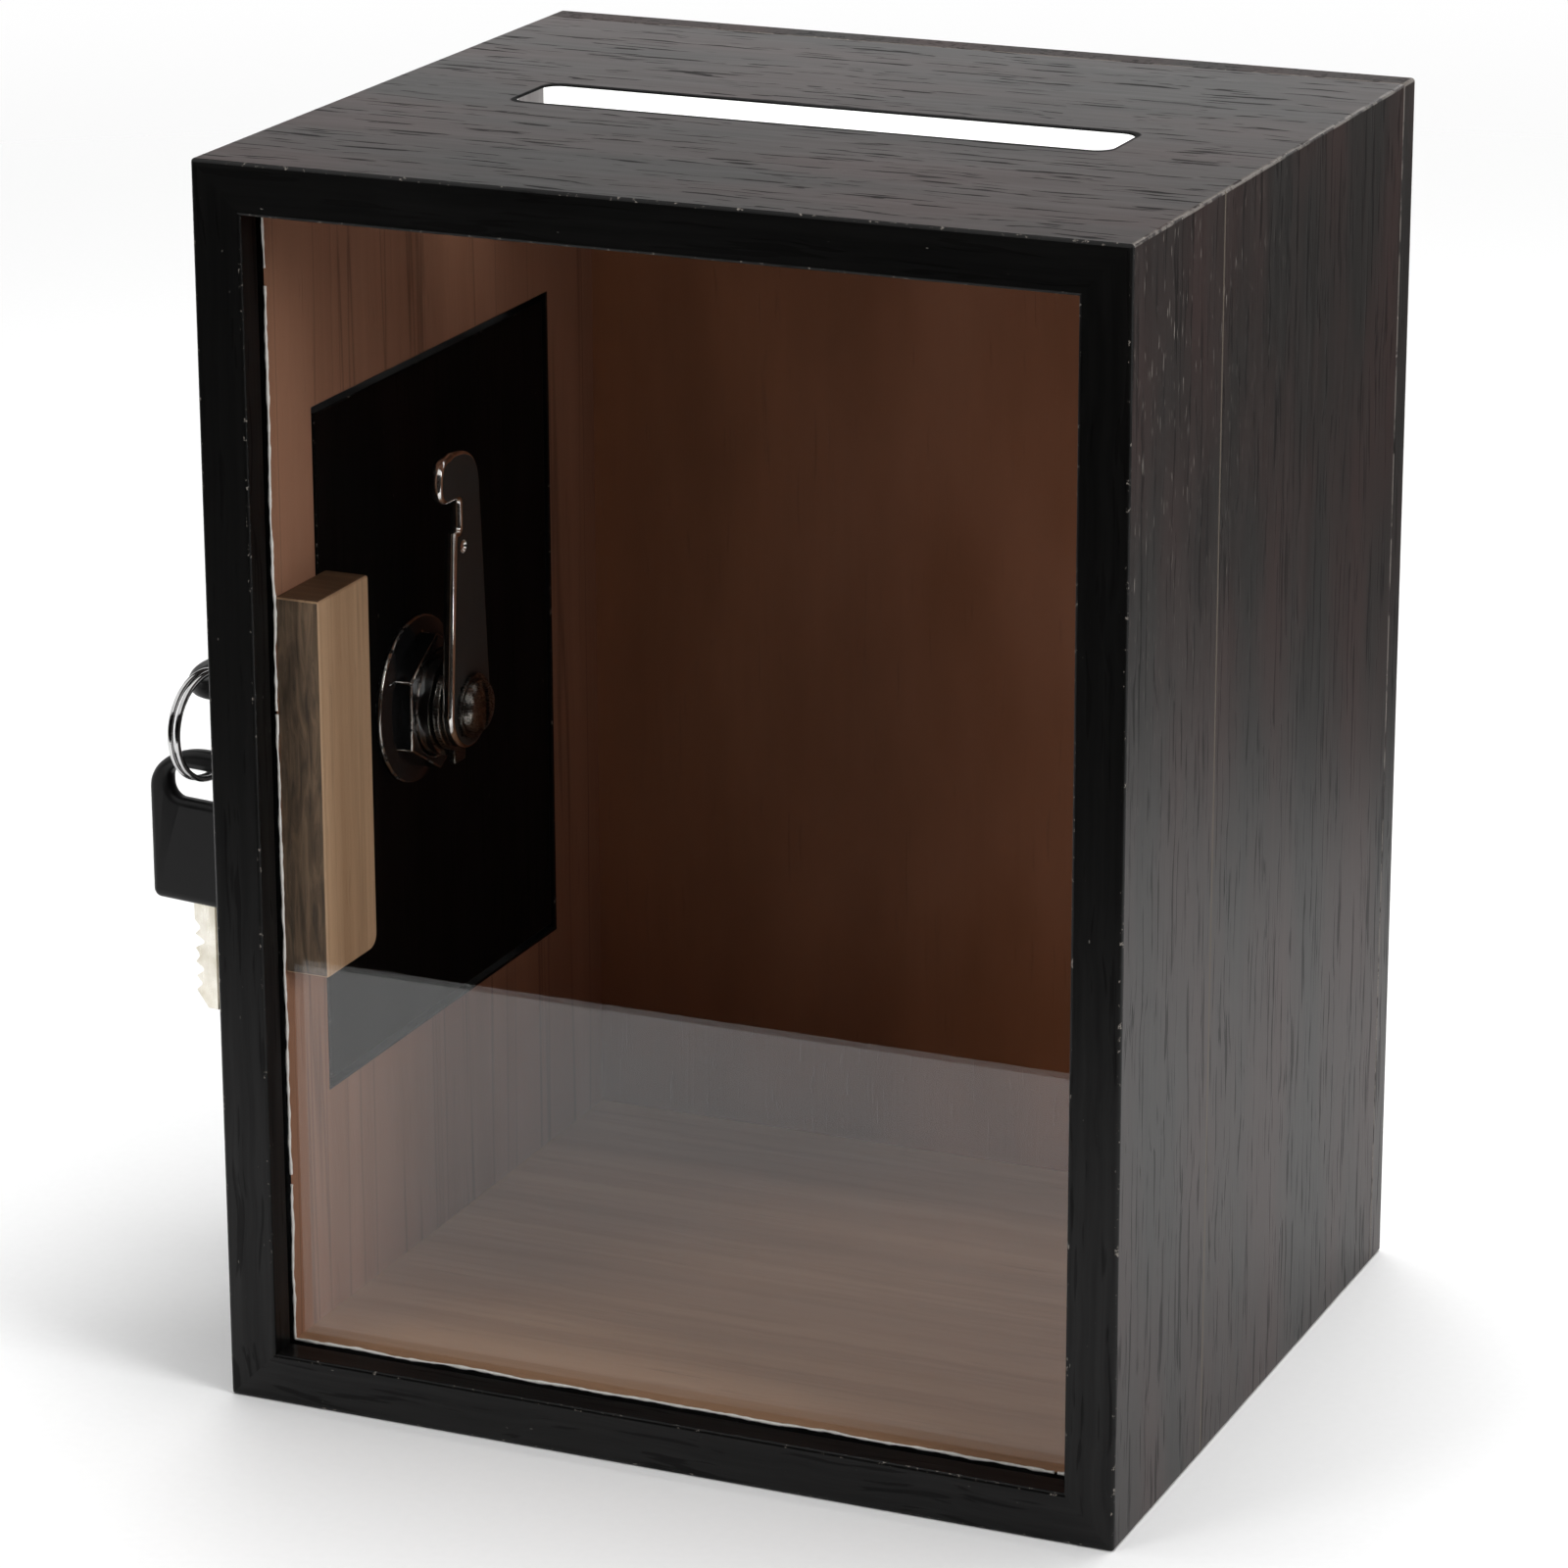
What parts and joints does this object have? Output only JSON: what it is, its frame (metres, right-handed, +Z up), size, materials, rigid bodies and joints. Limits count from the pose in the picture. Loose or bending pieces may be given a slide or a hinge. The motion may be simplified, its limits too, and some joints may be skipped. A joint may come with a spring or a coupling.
{
  "type": "money box with acrylic window",
  "caption": "Black-stained wooden money box with a slotted top, a clear acrylic front, and a hinged side door held by a cam lock with a key and a spare key on a split ring.",
  "frame": {"origin": "middle of the wooden case's bottom face, on the surface that it stands on", "axes": "+Z up, -Y out of the clear front, -X out of the side with the door and lock"},
  "size_m": [0.1958, 0.135, 0.21],
  "materials": {
    "stained_wood": "open-grained softwood stained black outside and left bare inside, satin",
    "pale_wood": "bare planed softwood",
    "clear_acrylic": "clear cast acrylic, polished faces and sawn edges",
    "black_steel": "black enamelled steel, semi-gloss",
    "bright_steel": "bright nickel plate, polished",
    "dark_steel": "dark zinc plate with bright edges",
    "nickel_plate": "nickel-plated brass, brushed",
    "black_plastic": "black moulded plastic, fine texture"
  },
  "bodies": {
    "case": {"top_panel": "stained_wood", "bottom_panel": "stained_wood", "left_side_panel": "stained_wood", "right_side_panel": "stained_wood", "back_panel": "stained_wood", "acrylic_window": "clear_acrylic", "strike_block": "pale_wood", "hinge_leaf_wall_upper": "black_steel", "hinge_leaf_wall_lower": "black_steel", "hinge_pin_upper": "black_steel", "hinge_pin_lower": "black_steel", "hinge_screw_wall_1": "black_steel", "hinge_screw_wall_2": "black_steel", "hinge_screw_wall_3": "black_steel", "hinge_screw_wall_4": "black_steel"},
    "door": {"access_door": "stained_wood", "hinge_leaf_door_upper": "black_steel", "hinge_leaf_door_lower": "black_steel", "hinge_screw_door_1": "black_steel", "hinge_screw_door_2": "black_steel", "hinge_screw_door_3": "black_steel", "hinge_screw_door_4": "black_steel", "lock_housing": "bright_steel", "lock_nut": "black_steel"},
    "lock_core": {"lock_plug": "bright_steel", "stop_washer": "dark_steel", "lock_cam": "dark_steel", "cam_washer": "dark_steel", "cam_screw": "dark_steel"},
    "key": {"key_blade": "nickel_plate", "key_head": "black_plastic"},
    "ring": {"key_ring": "bright_steel"},
    "spare_key": {"spare_key_blade": "nickel_plate", "spare_key_head": "black_plastic"}
  },
  "joints": [
    {"name": "door_swing", "type": "hinge", "parent": "case", "child": "door", "pos_m": [-0.0807, 0.0423, 0.10675], "axis": [0, 0, -1], "range_deg": [0, 170]},
    {"name": "lock_turn", "type": "hinge", "parent": "door", "child": "lock_core", "pos_m": [-0.0616, -0.0104, 0.10675], "axis": [1, 0, 0], "range_deg": [0, 90]},
    {"name": "key_withdraw", "type": "slide", "parent": "lock_core", "child": "key", "axis": [-1, 0, 0], "range_m": [0, 0.02]},
    {"name": "ring_roll", "type": "hinge", "parent": "key", "child": "ring", "pos_m": [-0.1053, -0.0203, 0.10675], "axis": [1, 0, 0], "range_deg": [-90, 0]},
    {"name": "spare_key_swing", "type": "hinge", "parent": "ring", "child": "spare_key", "pos_m": [-0.1053, -0.0203, 0.09098], "axis": [0.1392, 0.9903, 0], "range_deg": [-20, 20]}
  ],
  "couplings": [
    {"joint": "ring_roll", "follows": "lock_turn", "ratio": -1}
  ]
}
